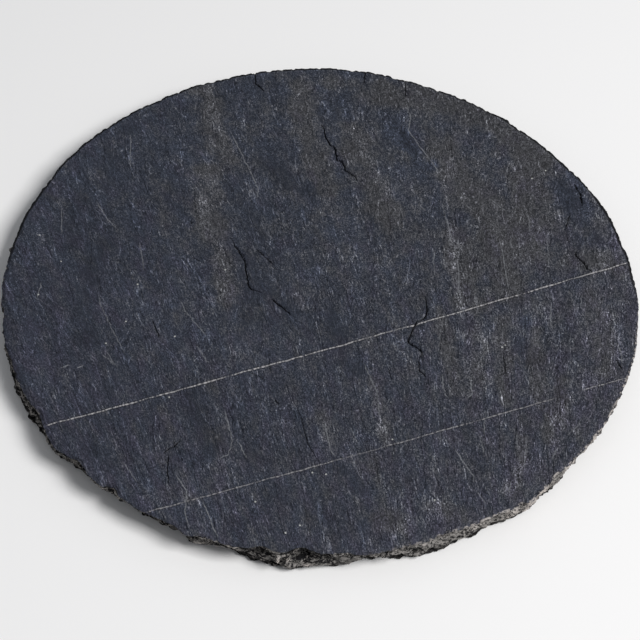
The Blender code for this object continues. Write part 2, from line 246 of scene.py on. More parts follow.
# Streaks where the top is paler and livelier, or darker and calmer if below 0: (shade, half width, route).
SHADES = in_metres((
    (0.7, 5, ((-107, 224), (-99, 182), (-87, 149))), (0.6, 6, ((-114, 109), (-95, 113), (-90, 95))),
    (1, 7, ((-99, 81), (-95, 50))), (0.7, 7, ((-81, 35), (-81, 10), (-71, -21))),
    (0.3, 3, ((-76, 147), (-65, 115), (-54, 100), (-37, 94))), (0.4, 6, ((-24, 175), (-25, 151))),
    (0.9, 4, ((17, 179), (31, 153), (45, 118), (62, 96))), (0.2, 4, ((37, 186), (43, 153), (58, 107))),
    (0.4, 4, ((68, 208), (68, 189))), (1.1, 5, ((104, 60), (107, 32), (109, 5), (112, -22))),
    (0.6, 6, ((136, 52), (146, 55))), (0.5, 4, ((-29, 31), (5, 31), (26, 25), (49, 18), (56, 27))),
    (0.4, 7, ((23, 2), (32, -13))), (0.7, 5, ((123, -29), (126, -54), (131, -75), (128, -100))),
    (0.8, 5, ((118, -66), (118, -102))), (0.7, 6, ((141, -52), (145, -54))),
    (0.5, 6, ((178, -16), (180, -42))), (0.4, 4, ((206, 7), (207, -42))),
    (0.9, 6, ((227, -15), (230, -38), (237, -58))), (0.5, 6, ((207, -89), (219, -75), (232, -83))),
    (0.6, 5, ((228, 53), (226, 36))), (0.7, 5, ((38, -100), (47, -110), (51, -135), (53, -151))),
    (0.7, 6, ((52, -140), (29, -153))), (0.6, 6, ((5, -133), (10, -152))),
    (0.8, 6, ((185, -106), (183, -124), (174, -147))), (0.6, 5, ((164, -105), (167, -108))),
    (1.1, 6, ((154, -161), (149, -176), (143, -187))), (0.6, 6, ((88, -198), (94, -209), (82, -217))),
    (0.9, 7, ((70, -223), (61, -230))), (0.6, 6, ((-64, -168), (-59, -183))),
    (0.5, 7, ((-61, -75), (-70, -92))), (0.6, 5, ((-88, -206), (-88, -215))),
    (0.4, 6, ((-146, -31), (-140, -40))), (0.5, 3, ((43, -180), (53, -193), (66, -207))),
    (0.5, 3, ((-111, -135), (-99, -154))), (0.6, 8, ((-115, -209), (-105, -216))),
    (0.5, 6, ((126, 139), (133, 128))), (0.4, 9, ((-21, 229), (2, 229))),
    (-0.7, 10, ((-47, 130), (-31, 108), (-14, 102))), (-0.7, 7, ((-181, 138), (-183, 98))),
    (-0.5, 7, ((-170, 165), (-155, 171))), (-0.3, 7, ((-201, 81), (-197, 45), (-201, 28))),
    (-0.7, 8, ((-174, 32), (-184, 9), (-183, -28), (-175, -68))),
    (-0.6, 6, ((-162, -85), (-152, -117))), (-0.8, 9, ((-94, -119), (-84, -139), (-71, -164))),
    (-0.6, 8, ((-61, 24), (-55, -20), (-60, -53))), (-0.7, 11, ((-38, -11), (-24, -26))),
    (-0.6, 7, ((9, -26), (14, -52), (23, -87))), (-0.4, 6, ((-60, 227), (-57, 210))),
    (-0.6, 4, ((60, 181), (75, 154))), (-0.6, 5, ((40, 167), (50, 140))),
    (-0.9, 8, ((196, 123), (208, 99))), (-0.4, 7, ((201, 65), (213, 37))),
    (-0.7, 6, ((156, -49), (164, -66))), (-0.8, 5, ((155, -7), (156, -17))),
    (-0.6, 8, ((22, -179), (34, -191))), (-0.5, 8, ((-45, -169), (-36, -176))),
    (-0.4, 6, ((120, -161), (131, -168))), (-0.4, 5, ((83, -5), (82, -18))),
    (-0.6, 7, ((-65, 87), (-49, 49))), (-0.6, 7, ((30, -81), (29, -98))),
    (-0.4, 8, ((-160, -171), (-150, -179))), (-0.5, 5, ((122, 109), (129, 100))),
    (-0.4, 18, ((-54, -32), (-22, -40), (9, -47))), (-0.4, 16, ((-25, -207), (0, -214), (36, -220))),
    (0.5, 7, ((-235, -21), (-235, 21), (-226, 57), (-210, 89))),
    (0.4, 7, ((-137, 195), (-121, 205), (-106, 216))), (-0.5, 8, ((195, 99), (209, 81), (218, 63))),
    (0.4, 7, ((102, 54), (113, 44), (126, 25))), (-0.4, 8, ((90, -133), (116, -136))),
    (0.4, 4, ((-41, 89), (-30, 84), (-20, 85))), (-0.4, 6, ((-46, 55), (-42, 2))),
    (-0.4, 8, ((-31, 145), (-25, 118))), (0.4, 6, ((-223, -81), (-208, -109), (-188, -140))),
    (-0.3, 8, ((130, 183), (164, 161), (185, 145))),
), plain=(0,))

# Where the top is a warmer grey, and below 0 where it stays blue: (warmth, half width, route).
WARM_STREAKS = in_metres((
    (1, 12, ((-108, 214), (-97, 174), (-86, 138))), (1, 15, ((-98, 117), (-95, 80), (-91, 47))),
    (1, 10, ((-80, 29), (-77, 2), (-72, -23))),
    (0.9, 12, ((-26, 230), (-23, 185), (-7, 138), (0, 103))), (0.6, 9, ((0, 234), (17, 233))),
    (1, 19, ((44, 224), (96, 215), (148, 194), (185, 160))),
    (0.9, 15, ((19, 175), (37, 117), (58, 67))), (0.9, 19, ((96, 156), (121, 111), (144, 68))),
    (1, 20, ((172, 150), (170, 103), (164, 47))), (1, 15, ((107, 54), (111, 22), (119, -9))),
    (1, 15, ((136, 56), (143, 24), (151, 3))), (0.6, 11, ((200, 38), (225, 45), (238, 30))),
    (0.6, 10, ((214, -3), (220, -33), (221, -73))), (0.7, 7, ((95, -21), (98, -51), (106, -99))),
    (0.7, 7, ((122, -40), (125, -79), (117, -103))), (0.8, 7, ((142, -28), (144, -68), (143, -106))),
    (0.8, 5, ((169, -37), (168, -76), (170, -110))), (0.9, 6, ((187, -85), (183, -114), (174, -142))),
    (0.8, 6, ((157, -143), (151, -170), (146, -188))), (0.6, 6, ((45, -93), (49, -122), (53, -149))),
    (0.4, 6, ((44, -163), (49, -185), (54, -211))), (0.9, 9, ((51, -218), (66, -224))),
    (0.7, 9, ((94, -207), (104, -211))), (0.6, 5, ((-114, -127), (-106, -149), (-102, -176))),
    (0.5, 7, ((-67, -147), (-62, -165), (-68, -183))), (0.6, 7, ((-105, -203), (-86, -208))),
    (0.5, 7, ((8, -129), (9, -147))), (0.3, 10, ((-132, 94), (-128, 50))),
    (-0.9, 10, ((57, 178), (75, 155), (86, 138))), (-0.6, 7, ((14, 218), (17, 190))),
    (-0.9, 12, ((206, 128), (209, 88))), (-0.5, 6, ((162, -27), (158, -57))),
), plain=(0,))
SHADE_WANDER = 0.005
SHADE_WANDER_LENGTH = 0.014

# The underside's shallow recesses, where leaves came away with the stone below.
RECESS_LENGTH = 0.060
RECESS_EDGE = 0.03

# Where each noise is read along its third axis, so that no two of them are alike.
SEED = {
    "ragged": 7.7, "lamina": 20.0, "scallop": 110, "leaves": 70, "bite": 90, "nick": 50.0, "chip": 64.0,
    "ridge": 4.2, "ripple": 9.4, "wobble_x": 31.0, "wobble_y": 37.0, "shade_x": 43.0, "shade_y": 47.0,
    "scar": 60.0, "wear": 40.0, "recess": 55.0, "wander": 130.0,
}

# The mesh: cells along a side of the grid, and how near the lines it is made finer, round by round.
GRID_CELLS = 164
FINE_REACHES = (0.0032, 0.0015)
CRACK_REACH = 0.0014
UNDERSIDE_KEPT = 0.16
SHARP_ANGLE = 26

# Noise over the top: (width across the grain, length along it, seed, detail, roughness, curl).
TOP_NOISES = {
    "fibre": (0.0012, 0.0040, 1.0, 1.0, 0.6, 0.8),
    "streak": (0.0024, 0.0190, 7.0, 2.0, 0.6, 0.3),
    "mottle": (0.0080, 0.0380, 11.0, 3.0, 0.6, 0.0),
    "patch": (0.0300, 0.0900, 15.0, 2.0, 0.5, 0.0),
    "worms": (0.0025, 0.0042, 23.0, 1.0, 0.5, 1.6),
    "hairs": (0.0085, 0.0340, 27.0, 2.0, 0.5, 0.8),
    "threads": (0.0050, 0.0200, 33.0, 2.0, 0.5, 1.4),
    "steps": (0.0200, 0.0800, 51.0, 4.0, 0.55, 0.5),
    "hue": (0.0130, 0.0230, 61.0, 2.0, 0.5, 0.0),
    "plum": (0.0120, 0.0260, 83.0, 2.0, 0.5, 0.0),
}
CLEFT_STEPS = 6.0

# Noise in the broken wall: (width, height, seed, detail, roughness).
WALL_NOISES = {
    "leaf_lines": (0.0120, 0.0015, 0.0, 2.0, 0.6),
    "lumps": (0.0020, 0.0016, 0.0, 2.0, 0.65),
    "joints": (0.0140, 0.0026, 9.0, 2.0, 0.65),
}

# What the mesh tells the finish at each vertex.
ATTRIBUTES = (
    "broken", "crack_across", "crack_shade", "ledge_across", "ledge",
    "shade", "warmth", "hollow", "fresh", "inward",
)
SIZE_TOLERANCE = 0.004

# The two quartz veins: (one end, other end, how far the middle bows to the front, half width, how
# clear it is, and the stretches where it thins out: (share of its way, half length, how much is left)).
VEINS = in_metres((
    ((-197, -150), (245, 38), 2.3, 0.6, 1, ((0.58, 0.02, 0.5),)),
    ((-116, -222), (237, -79), 1, 0.5, 0.6, ((0.43, 0.06, 0.5), (0.87, 0.045, 0.1))),
), plain=(4, 5))

# Single white grains in the top.
FLECKS = in_metres((
    (-163, -70), (-150, -48), (-145, -9), (-111, -60), (-110, -119), (-221, -25), (-208, 11),
    (-229, 38), (184, 138), (172, 128), (-77, 10), (0, -181), (10, -182), (-7, -227), (-17, -234),
    (-40, -209), (89, -200), (58, -148), (144, -53), (142, -55),
))
FLECK_SIZE = 0.0006

# The stage.
FLOOR_SIZE = 8.0
KEY_AZIMUTH = -22
KEY_ELEVATION = 48
KEY_SIZE = 2.0
LIGHT_DISTANCE = 4.5
CAMERA_ELEVATION = 50.399
CAMERA_ROLL = 2.749
CAMERA_DISTANCE = 1.3855
CAMERA_AIM = (0.0002, -0.0369, 0.022)
CAMERA_LENS = 100
CAMERA_SENSOR = 36
CAMERA_CLIP = (0.05, 20)
FLOOR_ROUGHNESS = 0.9


def smooth(share):
    """0 below 0, 1 above 1, and an S curve between."""
    share = np.clip(share, 0, 1)
    return share * share * (3 - 2 * share)


def mix(low, high, share):
    return low + (high - low) * share


def noise_at(*coordinates):
    """Noise between about -1 and 1 at the places that these three coordinates give."""
    places = np.column_stack(np.broadcast_arrays(*coordinates))
    return np.array([noise.noise(place) for place in places.tolist()])


def round_noise(bearing, waves, seed):
    """Noise that closes on itself after a full turn, about `waves` swings each way round."""
    angle = np.radians(bearing)
    return noise_at(waves * np.cos(angle), waves * np.sin(angle), seed)


def turn_between(bearing, other):
    """The angle from one bearing to another, between -180 and 180 degrees."""
    return (other - bearing + 180) % 360 - 180


def rim_form(bearing, share):
    """The wall's offset from the nominal circle, read smoothly round the closed table."""
    start, edge, foot = np.array(RIM_FORM + RIM_FORM[:1]).T
    past = (start - start[0]) % 360
    past[-1] = 360
    turned = (bearing - start[0]) % 360
    row = np.searchsorted(past, turned, side="right") - 1
    blend = smooth((turned - past[row]) / (past[row + 1] - past[row]))
    return mix(mix(foot[row], foot[row + 1], blend), mix(edge[row], edge[row + 1], blend), share)


def rim_marks(bearing, height):
    """The sum of the bites and spurs at these places of the wall, and how pale the stone is there, as a
    fresh break and as a painted highlight.
    """
    offset, paleness = np.zeros((2, len(bearing)))
    for centre, half_width, depth, low, high, fresh in RIM_MARKS:
        aside = np.abs(turn_between(centre, bearing)) / half_width
        rise = smooth((height - low) / MARK_SOFTNESS) * smooth((high - height) / MARK_SOFTNESS)
        offset += depth * rise * (1 - smooth(aside))
        paleness = np.maximum(paleness, fresh * rise * (1 - smooth(aside)))
    return offset, paleness


def leaf_number(share, seams):
    """The number of the leaf at this share of the wall's height, counted from the foot."""
    return np.searchsorted(seams, share)


def plain_offset(bearing, share):
    """The plain wall's offset from the nominal circle, at this share of its height."""
    ragged = RAGGED * round_noise(bearing, RAGGED_WAVES, SEED["ragged"] + share)
    lamina = SEED["lamina"] + 5 * leaf_number(share, MAIN_SEAMS)
    step = LAMINA_STEP * round_noise(bearing, LAMINA_WAVES, lamina)
    step *= smooth((1 - share) / MAIN_SEAM_RISE)
    return rim_form(bearing, share) + ragged + step + rim_marks(bearing, share * THICKNESS)[0]


def shells(bearing, share):
    """How far the ridges between the shell-shaped scars stand out of the wall, below 0 inside a scar."""
    angle = np.radians(bearing)
    offset = np.zeros(len(bearing))
    for width, height, depth in SHELLS:
        around = RADIUS / width
        upward = share * THICKNESS / height
        places = np.column_stack([around * np.cos(angle), around * np.sin(angle), upward])
        gap = np.array([noise.voronoi(place)[0][0] for place in places.tolist()])
        offset += depth * (smooth(gap / SHELL_CREST) - SHELL_MEAN)
    return offset


def broken_offset(form, bearing, share):
    """What the knapping adds to the plain wall: scallops, stepped leaves, shells, bites and edge nicks."""
    leaf = leaf_number(share, SEAMS)
    below_edge = smooth((1 - share) / BARE_EDGE)
    scallop = 0.2 - np.abs(round_noise(bearing, SCALLOP_WAVES, SEED["scallop"] + 0.7 * share))
    leaves = round_noise(bearing, LEAF_WAVES, SEED["leaves"] + 1.7 * leaf)
    bite = 0.2 - np.abs(round_noise(bearing, BITE_WAVES, SEED["bite"] + 0.6 * leaf))
    nick = np.minimum(round_noise(bearing, NICK_WAVES, SEED["nick"]), 0.1) + 0.25
    wall = form.scallop * scallop + form.leaf_step * leaves + form.leaf_bite * bite
    wall += shells(bearing, share)
    return mix(form.edge_nick * nick, wall, mix(0.15, 1, below_edge))


def across_grain(x, y):
    """The place across the grain. The grain leans on the slab's left and runs straight on its right."""
    return (x + GRAIN_LEAN * y) / (1 + GRAIN_FAN * y)


def cleft(form, x, y):
    """The height of the riven top above its mean plane."""
    across = across_grain(x, y)
    swell = noise_at(x / SWELL_LENGTH, y / SWELL_LENGTH, 0.31 / SWELL_LENGTH)
    ridge = noise_at(across / RIDGE_WIDTH, y / RIDGE_LENGTH, SEED["ridge"])
    ripple = noise_at(across / RIPPLE_WIDTH, y / RIPPLE_LENGTH, SEED["ripple"])
    return form.swell * swell + form.ridge * ridge + form.ripple * ripple


def wobbled(x, y):
    """The same places, pushed about a little, so that what is drawn through them isn't straight."""
    near_x = LINE_WOBBLE * noise_at(x / WOBBLE_LENGTH, y / WOBBLE_LENGTH, SEED["wobble_x"])
    near_y = LINE_WOBBLE * noise_at(x / WOBBLE_LENGTH, y / WOBBLE_LENGTH, SEED["wobble_y"])
    return x + near_x, y + near_y


def along_route(x, y, route):
    """How far each place is from this route, below 0 on its left, and its share of the way along."""
    points = np.array(route)
    lengths = np.hypot(*np.diff(points, axis=0).T)
    nearest = np.full(len(x), np.inf)
    side = np.zeros(len(x))
    along = np.zeros(len(x))
    walked = 0.0
    for (ax, ay), (bx, by), length in zip(points, points[1:], lengths):
        dx, dy = (bx - ax) / length, (by - ay) / length
        reach = np.clip((x - ax) * dx + (y - ay) * dy, 0, length)
        gap = np.hypot(x - ax - reach * dx, y - ay - reach * dy)
        closer = gap < nearest
        nearest[closer] = gap[closer]
        side[closer] = np.sign((x - ax) * dy - (y - ay) * dx)[closer]
        along[closer] = (walked + reach)[closer]
        walked += length
    return nearest * np.where(side < 0, -1, 1), along / walked


def taper(along):
    """1 in the middle of a route, and 0 at its two ends."""
    return smooth(4 * along * (1 - along) * 1.6)


class Lines:
    """For each place, how it lies across the nearest line, in half widths, and how strong that line is."""

    def __init__(self, count):
        self.across = np.full(count, np.inf)
        self.strength = np.zeros(count)

    def draw(self, across, strength, along):
        nearer = np.abs(across) < np.abs(self.across)
        beside = (np.abs(across) < LINE_SPAN) & (along > 0) & (along < 1)
        self.across[nearer] = across[nearer]
        self.strength[nearer] = (strength * beside)[nearer]

    def marks(self):
        return np.clip(self.across, -LINE_SPAN, LINE_SPAN), self.strength


def crack_marks(x, y):
    """How deep the cracks cut the top here, and the dark lines of painted shade that they draw."""
    depth = np.zeros(len(x))
    lines = Lines(len(x))
    for half_width, crack_depth, route in CRACKS:
        gap, along = along_route(x, y, route)
        narrowed = half_width * mix(0.55, 1, taper(along))
        strength = mix(0.6, 1, taper(along))
        cut = np.clip(1.3 * (1 - np.abs(gap) / narrowed), 0, 1) * strength
        depth = np.maximum(depth, crack_depth * cut)
        lines.draw(gap / narrowed, strength, along)
    return depth, *lines.marks()


def ledge_marks(x, y):
    """How far the ledges lower the top here, and the pale lines of painted highlight along their broken
    edges.
    """
    drop = np.zeros(len(x))
    lines = Lines(len(x))
    for height, route in TOP_LEDGES:
        gap, along = along_route(x, y, route)
        strength = taper(along)
        rise = smooth(gap / LEDGE_WIDTH) * (1 - smooth(gap / LEDGE_REACH))
        drop += height * rise * strength
        clear = np.clip(height / CLEAR_LEDGE, 0.5, 1)
        lines.draw((gap - LEDGE_WIDTH / 2) / LEDGE_WIDTH, strength * clear, along)
    return drop, *lines.marks()


def scar_place(x, y, scar, index):
    """A place in a scar's own frame: its share across the scar, and how far inside the ragged outline."""
    centre_x, centre_y, half_width, half_length, bearing = scar[:5]
    angle = math.radians(bearing)
    east, north = x - centre_x, y - centre_y
    across = (east * math.cos(angle) + north * math.sin(angle)) / half_width
    along = (north * math.cos(angle) - east * math.sin(angle)) / half_length
    turned = np.degrees(np.arctan2(along, across))
    ragged = 1 + SCAR_RAGGED * round_noise(turned, 2.5, SEED["scar"] + index)
    return across, ragged - np.hypot(across, along)


def scar_marks(x, y):
    """How deep the flake scars cut the top here."""
    depth = np.zeros(len(x))
    for index, scar in enumerate(FLAKE_SCARS):
        across, within = scar_place(x, y, scar, index)
        depth = np.maximum(depth, scar[-1] * np.clip(1 + across, 0, 2) / 2 * smooth(within / SCAR_WALL))
    return depth


def streak_marks(x, y, streaks):
    """The sum of what these streaks add to the top at each place, with their edges made uneven."""
    length = SHADE_WANDER_LENGTH
    x = x + SHADE_WANDER * noise_at(x / length, y / length, SEED["shade_x"])
    y = y + SHADE_WANDER * noise_at(x / length, y / length, SEED["shade_y"])
    total = np.zeros(len(x))
    for strength, half_width, route in streaks:
        gap, _ = along_route(x, y, route)
        total += strength * (1 - smooth(np.abs(gap) / half_width - 0.3))
    return total


def under_lift(form, x, y, bearing, share):
    """How far the underside stands above the flat plane that the slab rests on."""
    wear = 0.55 + 0.45 * round_noise(bearing, 5, SEED["wear"])
    patches = noise_at(x / RECESS_LENGTH, y / RECESS_LENGTH, SEED["recess"])
    recess = smooth((patches - 0.1) / RECESS_EDGE)
    lift = form.edge_lift * wear * smooth((share - FLAT_SHARE) / (1 - FLAT_SHARE))
    return lift + form.under_recess * recess


def disc_place(u, v):
    """The nominal place on the disc of a point of the square, so that the square's sides become the rim."""
    if u == 0 and v == 0:
        return 0.0, 0.0
    if abs(u) >= abs(v):
        side, angle = u, math.pi / 4 * v / u
    else:
        side, angle = v, math.pi / 2 - math.pi / 4 * u / v
    return RADIUS * side * math.cos(angle), RADIUS * side * math.sin(angle)


def row_shares():
    """The heights of the wall's rows from the foot to the top, two for each seam."""
    shares = [0.0]
    for seam in SEAMS:
        shares += [seam - SEAM_RISE / 2, seam + SEAM_RISE / 2]
    return shares + [1.0]


def blank(bm):
    """A closed disc of nominal places: a grid at the foot, one at the top, and the wall's rows between."""
    bmesh.ops.create_grid(bm, x_segments=GRID_CELLS, y_segments=GRID_CELLS, size=1)
    raised = bmesh.ops.extrude_face_region(bm, geom=bm.faces[:])["geom"]
    for vert in [item for item in raised if isinstance(item, bmesh.types.BMVert)]:
        vert.co.z = 1
    upright = [edge for edge in bm.edges if edge.verts[0].co.z != edge.verts[1].co.z]
    shares = row_shares()
    bmesh.ops.subdivide_edges(bm, edges=upright, cuts=len(shares) - 2, use_grid_fill=True)
    for vert in bm.verts:
        u, v, row = vert.co
        vert.co = (*disc_place(u, v), shares[round(row * (len(shares) - 1))])
    bmesh.ops.recalc_face_normals(bm, faces=bm.faces[:])


def halve(bm, edges):
    bmesh.ops.subdivide_edges(bm, edges=edges, cuts=1, use_grid_fill=True)


def nominal_places(bm):
    bm.verts.index_update()
    return np.array([vert.co[:] for vert in bm.verts])


def halve_rim(bm):
    """Doubles the columns of the wall, and makes the outermost ring of the top finer."""
    x, y, height = nominal_places(bm).T
    on_rim = np.hypot(x, y) > RADIUS * (1 - 0.5 / GRID_CELLS)
    level = [edge for edge in bm.edges
             if all(on_rim[vert.index] for vert in edge.verts)
             and edge.verts[0].co.z == edge.verts[1].co.z]
    halve(bm, level)
    x, y, height = nominal_places(bm).T
    outer = (np.hypot(x, y) > RADIUS * (1 - 3 / GRID_CELLS)) & (height == 1)
    inward = [edge for edge in bm.edges
              if all(outer[vert.index] for vert in edge.verts)
              and not edge.is_boundary
              and abs(edge.verts[0].co.xy.length - edge.verts[1].co.xy.length) > RADIUS / GRID_CELLS]
    halve(bm, inward)


def line_gap(x, y, routes):
    """How far each place is from the nearest of these routes."""
    gaps = [np.abs(along_route(x, y, route)[0]) for route in routes]
    return np.min(gaps, axis=0)


def halve_near(bm, routes, reach, scars=()):
    """Halves the top's edges that lie within this reach of a route, or of a scar's outline."""
    x, y, height = nominal_places(bm).T
    near = np.zeros(len(x), bool)
    top = height == 1
    top_x, top_y = wobbled(x[top], y[top])
    close = line_gap(top_x, top_y, routes) < reach
    for index, scar in enumerate(scars):
        within = scar_place(top_x, top_y, scar, index)[1]
        close |= np.abs(within - SCAR_WALL / 2) * scar[2] < reach / 2
    near[top] = close
    halve(bm, [edge for edge in bm.edges if all(near[vert.index] for vert in edge.verts)])


def stone_blank():
    """The nominal disc as a mesh, fine enough for every line and leaf that the stone shows."""
    bm = bmesh.new()
    blank(bm)
    halve_rim(bm)
    cracks = [route for _, _, route in CRACKS]
    ledges = [route for _, route in TOP_LEDGES]
    for reach in FINE_REACHES:
        halve_near(bm, cracks + ledges, reach, FLAKE_SCARS)
    halve_near(bm, cracks, CRACK_REACH)
    mesh = bpy.data.meshes.new(NODE)
    bm.to_mesh(mesh)
    bm.free()
    return mesh


def plain_middle():
    """The middle of the plain form's outline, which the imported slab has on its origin."""
    bearing, share = np.meshgrid(np.arange(-180, 180, 0.5), [0.0, *MAIN_SEAMS, 1.0])
    reach = RADIUS + plain_offset(bearing.ravel(), share.ravel())
    angle = np.radians(bearing.ravel())
    xs, ys = reach * np.cos(angle), reach * np.sin(angle)
    return (xs.min() + xs.max()) / 2, (ys.min() + ys.max()) / 2


def shaped(form, nominal):
    """The stone's places for these nominal ones, and what the finish needs to know at each of them."""
    x, y, height = nominal.T
    share = np.hypot(x, y) / RADIUS
    bearing = np.degrees(np.arctan2(y, x))
    rim = smooth((share - RIM_SHARE) / (1 - RIM_SHARE))
    wall = share > 1 - 0.5 / GRID_CELLS
    offset = plain_offset(bearing, height)
    offset[wall] += broken_offset(form, bearing[wall], height[wall])
    grit = form.grit * noise_at(x / GRIT_SIZE, y / GRIT_SIZE, height * THICKNESS / GRIT_SIZE)
    offset[wall] += (grit * mix(0.3, 1, smooth((1 - height) / BARE_EDGE)))[wall]
    reach = share * RADIUS + offset * rim
    angle = np.radians(bearing)
    x, y = reach * np.cos(angle), reach * np.sin(angle)

    line_x, line_y = wobbled(x, y)
    crack_depth, crack_across, crack_shade = crack_marks(line_x, line_y)
    ledge_drop, ledge_across, ledge = ledge_marks(line_x, line_y)
    scar_depth = scar_marks(line_x, line_y)
    inward = (1 - share) * RADIUS
    chipped = smooth(2.5 * (round_noise(bearing, NICK_WAVES, SEED["chip"]) - 0.05))
    chipped *= 1 - smooth(inward / CHIP_REACH)
    worn = form.edge_chip * chipped + form.edge_wear * (1 - smooth(inward / WEAR_REACH))
    relief = cleft(form, x, y) - crack_depth - ledge_drop - scar_depth - worn
    wander = SEAM_WANDER * round_noise(bearing, 7, SEED["wander"] + 9 * height)
    wander *= (height > 0) & (height < 1)
    z = mix(under_lift(form, x, y, bearing, share), THICKNESS + relief, height + wander)

    on_top = height == 1
    broken = np.where(on_top, 0.7 * chipped, 1.0)
    broken = np.where(on_top & wall, np.maximum(broken, 0.5), broken)
    hollow = np.clip((rim_form(bearing, height) - offset) / HOLLOW_DEPTH, -1, 1) * wall
    fresh = rim_marks(bearing, height * THICKNESS)[1] * wall
    broken = np.where((height == 0) & ~wall, 0.25, broken)
    marks = {
        "broken": broken,
        "crack_across": crack_across,
        "crack_shade": crack_shade * on_top,
        "ledge_across": ledge_across,
        "ledge": ledge * on_top,
        "shade": streak_marks(x, y, SHADES) * on_top,
        "warmth": streak_marks(x, y, WARM_STREAKS) * on_top,
        "hollow": hollow,
        "fresh": fresh,
        "inward": np.where(on_top, inward, (height - 1) * THICKNESS),
    }
    middle_x, middle_y = plain_middle()
    return np.column_stack([x - middle_x, y - middle_y, z]), marks


def store(mesh, name, values):
    made = mesh.attributes.new(name, "FLOAT", "POINT")
    made.data.foreach_set("value", values.astype(np.float32))


def thin_underside(slab):
    """Leaves the flat underside fewer faces, because little of its relief is fine."""
    under = slab.vertex_groups.new(name="underside")
    inner = [vert.index for vert in slab.data.vertices
             if vert.co.z < THICKNESS / 4 and vert.co.xy.length < RADIUS * FLAT_SHARE]
    under.add(inner, 1.0, "REPLACE")
    faces = len(slab.data.polygons)
    thin = slab.modifiers.new("thin_underside", "DECIMATE")
    thin.ratio = 1 - len(inner) * (1 - UNDERSIDE_KEPT) / faces
    thin.vertex_group = under.name
    graph = bpy.context.evaluated_depsgraph_get()
    thinned = bpy.data.meshes.new_from_object(slab.evaluated_get(graph))
    slab.modifiers.clear()
    slab.vertex_groups.clear()
    slab.data = thinned


class Wire:
    """A shader socket. Arithmetic on it adds Math nodes, and node() adds any other node beside it."""

    def __init__(self, tree, socket=None):
        self.tree = tree
        self.socket = socket

    def node(self, kind, settings=None, values=None, out=0):
        """Adds a node, makes its settings, then sets or links its inputs. It returns one of its outputs."""
        made = self.tree.nodes.new(kind)
        for name, setting in (settings or {}).items():
            setattr(made, name, setting)
        sockets = {socket.identifier: socket for socket in made.inputs}
        for name, value in (values or {}).items():
            if isinstance(value, Wire):
                self.tree.links.new(value.socket, sockets[name])
            else:
                sockets[name].default_value = value
        return Wire(self.tree, made.outputs[out])

    def math(self, operation, first, second=0.0):
        return self.node("ShaderNodeMath", {"operation": operation}, {"Value": first, "Value_001": second})

    def __add__(self, other):
        return self.math("ADD", self, other)

    def __sub__(self, other):
        return self.math("SUBTRACT", self, other)

    def __rsub__(self, other):
        return self.math("SUBTRACT", other, self)

    def __mul__(self, other):
        return self.math("MULTIPLY", self, other)

    def __truediv__(self, other):
        return self.math("DIVIDE", self, other)

    def __abs__(self):
        return self.math("ABSOLUTE", self)

    __radd__ = __add__
    __rmul__ = __mul__

    def larger(self, other):
        return self.math("MAXIMUM", self, other)

    def smaller(self, other):
        return self.math("MINIMUM", self, other)

    def between(self, low, high):
        """0 at low, 1 at high, and an S curve between. It falls if low is above high."""
        limits = {"Value": self, "From Min": low, "From Max": high}
        return self.node("ShaderNodeMapRange", {"interpolation_type": "SMOOTHSTEP"}, limits)

    def place(self, x, y, z=0.0):
        return self.node("ShaderNodeCombineXYZ", None, {"X": x, "Y": y, "Z": z})

    def noise(self, detail=2.0, roughness=0.5, curl=0.0):
        """Noise from 0 to 1, about 0.5 on average, at this place. The curl winds its shapes about."""
        values = {
            "Vector": self, "Scale": 1.0, "Detail": detail, "Roughness": roughness, "Distortion": curl,
        }
        return self.node("ShaderNodeTexNoise", None, values)

    def tint(self, share, other, blend="MIX"):
        """This colour, turned into another as far as the share says."""
        settings = {"data_type": "RGBA", "blend_type": blend}
        values = {"Factor_Float": share, "A_Color": self, "B_Color": other}
        return self.node("ShaderNodeMix", settings, values, out=2)

    def scaled(self, factor):
        return self.node("ShaderNodeVectorMath", {"operation": "SCALE"}, {"Vector": self, "Scale": factor})


def solid(colour):
    return (*colour, 1.0)


def blend(spot, share, low, high):
    """The low colour where the share is 0, and the high one where it is 1."""
    values = {"Factor_Float": share, "A_Color": solid(low), "B_Color": solid(high)}
    return spot.start.node("ShaderNodeMix", {"data_type": "RGBA"}, values, out=2)


def grain_places(start, x, y):
    """Gives a maker of noise places that are stretched along the grain of the stone."""
    across = (x + y * GRAIN_LEAN) / (y * GRAIN_FAN + 1)
    sway = start.place(x / 0.030, y / 0.045, 3.0).noise() - 0.5
    across = across + sway * 0.004

    def stretched(width, length, seed):
        return start.place(across / width, y / length, seed)

    return stretched


def vein_masks(start, x, y, vein, seed):
    """Where a quartz vein shows, beaded and broken along its way, and a darker band beside it."""
    (start_x, start_y), (end_x, end_y), bow, width, clear, thin_stretches = vein
    length = math.hypot(end_x - start_x, end_y - start_y)
    east, north = (end_x - start_x) / length, (end_y - start_y) / length
    along = (x - start_x) * east + (y - start_y) * north
    aside = (y - start_y) * east - (x - start_x) * north
    way = along / length
    bowed = aside + way * (1 - way) * (4 * bow)
    wander = (start.place(along / 0.012, seed, 0.0).noise() - 0.5) * 0.0016
    fine = (start.place(along / 0.0030, seed, 5.0).noise() - 0.5) * 0.0011
    beads = start.place(along / 0.0022, seed, 9.0).noise(1.0)
    thick = start.place(along / 0.022, seed, 13.0).noise(1.0)
    kept = way.between(-0.004, 0.004) * way.between(1.004, 0.996) * clear
    for share, reach, left in thin_stretches:
        kept = kept * (abs(way - share).between(reach * 0.6, reach) * (1 - left) + left)
    gap = abs(bowed + wander + fine)
    body = beads * 0.55 + thick * 0.45
    bright = (gap / (body * (width * 2))).between(1.3, 0.5) * body.between(0.34, 0.56) * kept
    bright = bright * (beads.between(0.36, 0.62) * 0.55 + 0.45)
    dark = gap.between(width * 3.6, width * 1.6) * body.between(0.30, 0.50) * kept
    return bright, dark


